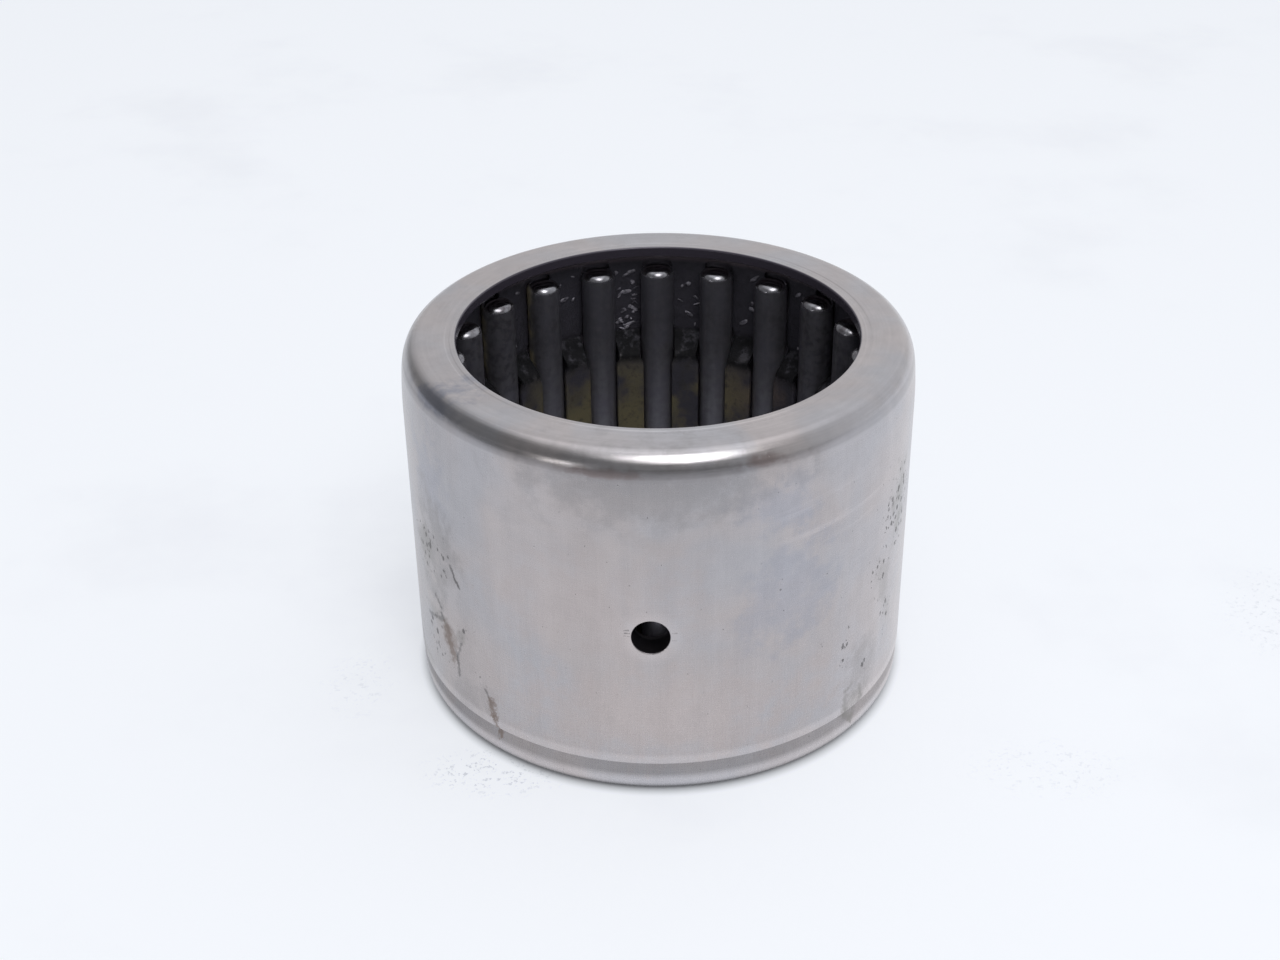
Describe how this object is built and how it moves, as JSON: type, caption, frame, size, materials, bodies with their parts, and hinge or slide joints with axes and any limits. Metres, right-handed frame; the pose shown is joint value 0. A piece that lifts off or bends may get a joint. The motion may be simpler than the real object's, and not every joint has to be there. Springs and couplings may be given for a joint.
{
  "type": "needle roller bearing",
  "caption": "Caged drawn cup needle roller bearing, open at both ends, with an oil hole in the cup wall. The cage and the needles turn about the bearing axis.",
  "frame": {"origin": "on the bearing axis, midway between the two end faces", "axes": "+Z along the bearing axis towards the drawn end (the end with the taller rounded corner); the oil hole in the cup wall faces -Y"},
  "size_m": [0.034, 0.034, 0.025],
  "materials": {
    "cup_steel": "satin, hardened and ground",
    "cage_steel": "dark sheet under a film of grease",
    "roller_steel": "fine ground"
  },
  "bodies": {
    "cup": {"drawn_cup": "cup_steel"},
    "cage": {"roller_cage": "cage_steel"},
    "roller_01": {"needle_roller_01": "roller_steel"},
    "roller_02": {"needle_roller_02": "roller_steel"},
    "roller_03": {"needle_roller_03": "roller_steel"},
    "roller_04": {"needle_roller_04": "roller_steel"},
    "roller_05": {"needle_roller_05": "roller_steel"},
    "roller_06": {"needle_roller_06": "roller_steel"},
    "roller_07": {"needle_roller_07": "roller_steel"},
    "roller_08": {"needle_roller_08": "roller_steel"},
    "roller_09": {"needle_roller_09": "roller_steel"},
    "roller_10": {"needle_roller_10": "roller_steel"},
    "roller_11": {"needle_roller_11": "roller_steel"},
    "roller_12": {"needle_roller_12": "roller_steel"},
    "roller_13": {"needle_roller_13": "roller_steel"},
    "roller_14": {"needle_roller_14": "roller_steel"},
    "roller_15": {"needle_roller_15": "roller_steel"},
    "roller_16": {"needle_roller_16": "roller_steel"},
    "roller_17": {"needle_roller_17": "roller_steel"},
    "roller_18": {"needle_roller_18": "roller_steel"},
    "roller_19": {"needle_roller_19": "roller_steel"},
    "roller_20": {"needle_roller_20": "roller_steel"}
  },
  "joints": [
    {"name": "cage_spin", "type": "hinge", "parent": "cup", "child": "cage", "pos_m": [0, 0, 0], "axis": [0, 0, 1], "continuous": true},
    {"name": "roller_01_spin", "type": "hinge", "parent": "cage", "child": "roller_01", "pos_m": [0.00049, -0.01389, 0], "axis": [0, 0, 1], "continuous": true},
    {"name": "roller_02_spin", "type": "hinge", "parent": "cage", "child": "roller_02", "pos_m": [0.00475, -0.01306, 0], "axis": [0, 0, 1], "continuous": true},
    {"name": "roller_03_spin", "type": "hinge", "parent": "cage", "child": "roller_03", "pos_m": [0.00856, -0.01095, 0], "axis": [0, 0, 1], "continuous": true},
    {"name": "roller_04_spin", "type": "hinge", "parent": "cage", "child": "roller_04", "pos_m": [0.01152, -0.00777, 0], "axis": [0, 0, 1], "continuous": true},
    {"name": "roller_05_spin", "type": "hinge", "parent": "cage", "child": "roller_05", "pos_m": [0.01336, -0.00383, 0], "axis": [0, 0, 1], "continuous": true},
    {"name": "roller_06_spin", "type": "hinge", "parent": "cage", "child": "roller_06", "pos_m": [0.01389, 0.00049, 0], "axis": [0, 0, 1], "continuous": true},
    {"name": "roller_07_spin", "type": "hinge", "parent": "cage", "child": "roller_07", "pos_m": [0.01306, 0.00475, 0], "axis": [0, 0, 1], "continuous": true},
    {"name": "roller_08_spin", "type": "hinge", "parent": "cage", "child": "roller_08", "pos_m": [0.01095, 0.00856, 0], "axis": [0, 0, 1], "continuous": true},
    {"name": "roller_09_spin", "type": "hinge", "parent": "cage", "child": "roller_09", "pos_m": [0.00777, 0.01152, 0], "axis": [0, 0, 1], "continuous": true},
    {"name": "roller_10_spin", "type": "hinge", "parent": "cage", "child": "roller_10", "pos_m": [0.00383, 0.01336, 0], "axis": [0, 0, 1], "continuous": true},
    {"name": "roller_11_spin", "type": "hinge", "parent": "cage", "child": "roller_11", "pos_m": [-0.00049, 0.01389, 0], "axis": [0, 0, 1], "continuous": true},
    {"name": "roller_12_spin", "type": "hinge", "parent": "cage", "child": "roller_12", "pos_m": [-0.00475, 0.01306, 0], "axis": [0, 0, 1], "continuous": true},
    {"name": "roller_13_spin", "type": "hinge", "parent": "cage", "child": "roller_13", "pos_m": [-0.00856, 0.01095, 0], "axis": [0, 0, 1], "continuous": true},
    {"name": "roller_14_spin", "type": "hinge", "parent": "cage", "child": "roller_14", "pos_m": [-0.01152, 0.00777, 0], "axis": [0, 0, 1], "continuous": true},
    {"name": "roller_15_spin", "type": "hinge", "parent": "cage", "child": "roller_15", "pos_m": [-0.01336, 0.00383, 0], "axis": [0, 0, 1], "continuous": true},
    {"name": "roller_16_spin", "type": "hinge", "parent": "cage", "child": "roller_16", "pos_m": [-0.01389, -0.00049, 0], "axis": [0, 0, 1], "continuous": true},
    {"name": "roller_17_spin", "type": "hinge", "parent": "cage", "child": "roller_17", "pos_m": [-0.01306, -0.00475, 0], "axis": [0, 0, 1], "continuous": true},
    {"name": "roller_18_spin", "type": "hinge", "parent": "cage", "child": "roller_18", "pos_m": [-0.01095, -0.00856, 0], "axis": [0, 0, 1], "continuous": true},
    {"name": "roller_19_spin", "type": "hinge", "parent": "cage", "child": "roller_19", "pos_m": [-0.00777, -0.01152, 0], "axis": [0, 0, 1], "continuous": true},
    {"name": "roller_20_spin", "type": "hinge", "parent": "cage", "child": "roller_20", "pos_m": [-0.00383, -0.01336, 0], "axis": [0, 0, 1], "continuous": true}
  ],
  "couplings": [
    {"joint": "roller_01_spin", "follows": "cage_spin", "ratio": -12.681},
    {"joint": "roller_02_spin", "follows": "cage_spin", "ratio": -12.681},
    {"joint": "roller_03_spin", "follows": "cage_spin", "ratio": -12.681},
    {"joint": "roller_04_spin", "follows": "cage_spin", "ratio": -12.681},
    {"joint": "roller_05_spin", "follows": "cage_spin", "ratio": -12.681},
    {"joint": "roller_06_spin", "follows": "cage_spin", "ratio": -12.681},
    {"joint": "roller_07_spin", "follows": "cage_spin", "ratio": -12.681},
    {"joint": "roller_08_spin", "follows": "cage_spin", "ratio": -12.681},
    {"joint": "roller_09_spin", "follows": "cage_spin", "ratio": -12.681},
    {"joint": "roller_10_spin", "follows": "cage_spin", "ratio": -12.681},
    {"joint": "roller_11_spin", "follows": "cage_spin", "ratio": -12.681},
    {"joint": "roller_12_spin", "follows": "cage_spin", "ratio": -12.681},
    {"joint": "roller_13_spin", "follows": "cage_spin", "ratio": -12.681},
    {"joint": "roller_14_spin", "follows": "cage_spin", "ratio": -12.681},
    {"joint": "roller_15_spin", "follows": "cage_spin", "ratio": -12.681},
    {"joint": "roller_16_spin", "follows": "cage_spin", "ratio": -12.681},
    {"joint": "roller_17_spin", "follows": "cage_spin", "ratio": -12.681},
    {"joint": "roller_18_spin", "follows": "cage_spin", "ratio": -12.681},
    {"joint": "roller_19_spin", "follows": "cage_spin", "ratio": -12.681},
    {"joint": "roller_20_spin", "follows": "cage_spin", "ratio": -12.681}
  ]
}
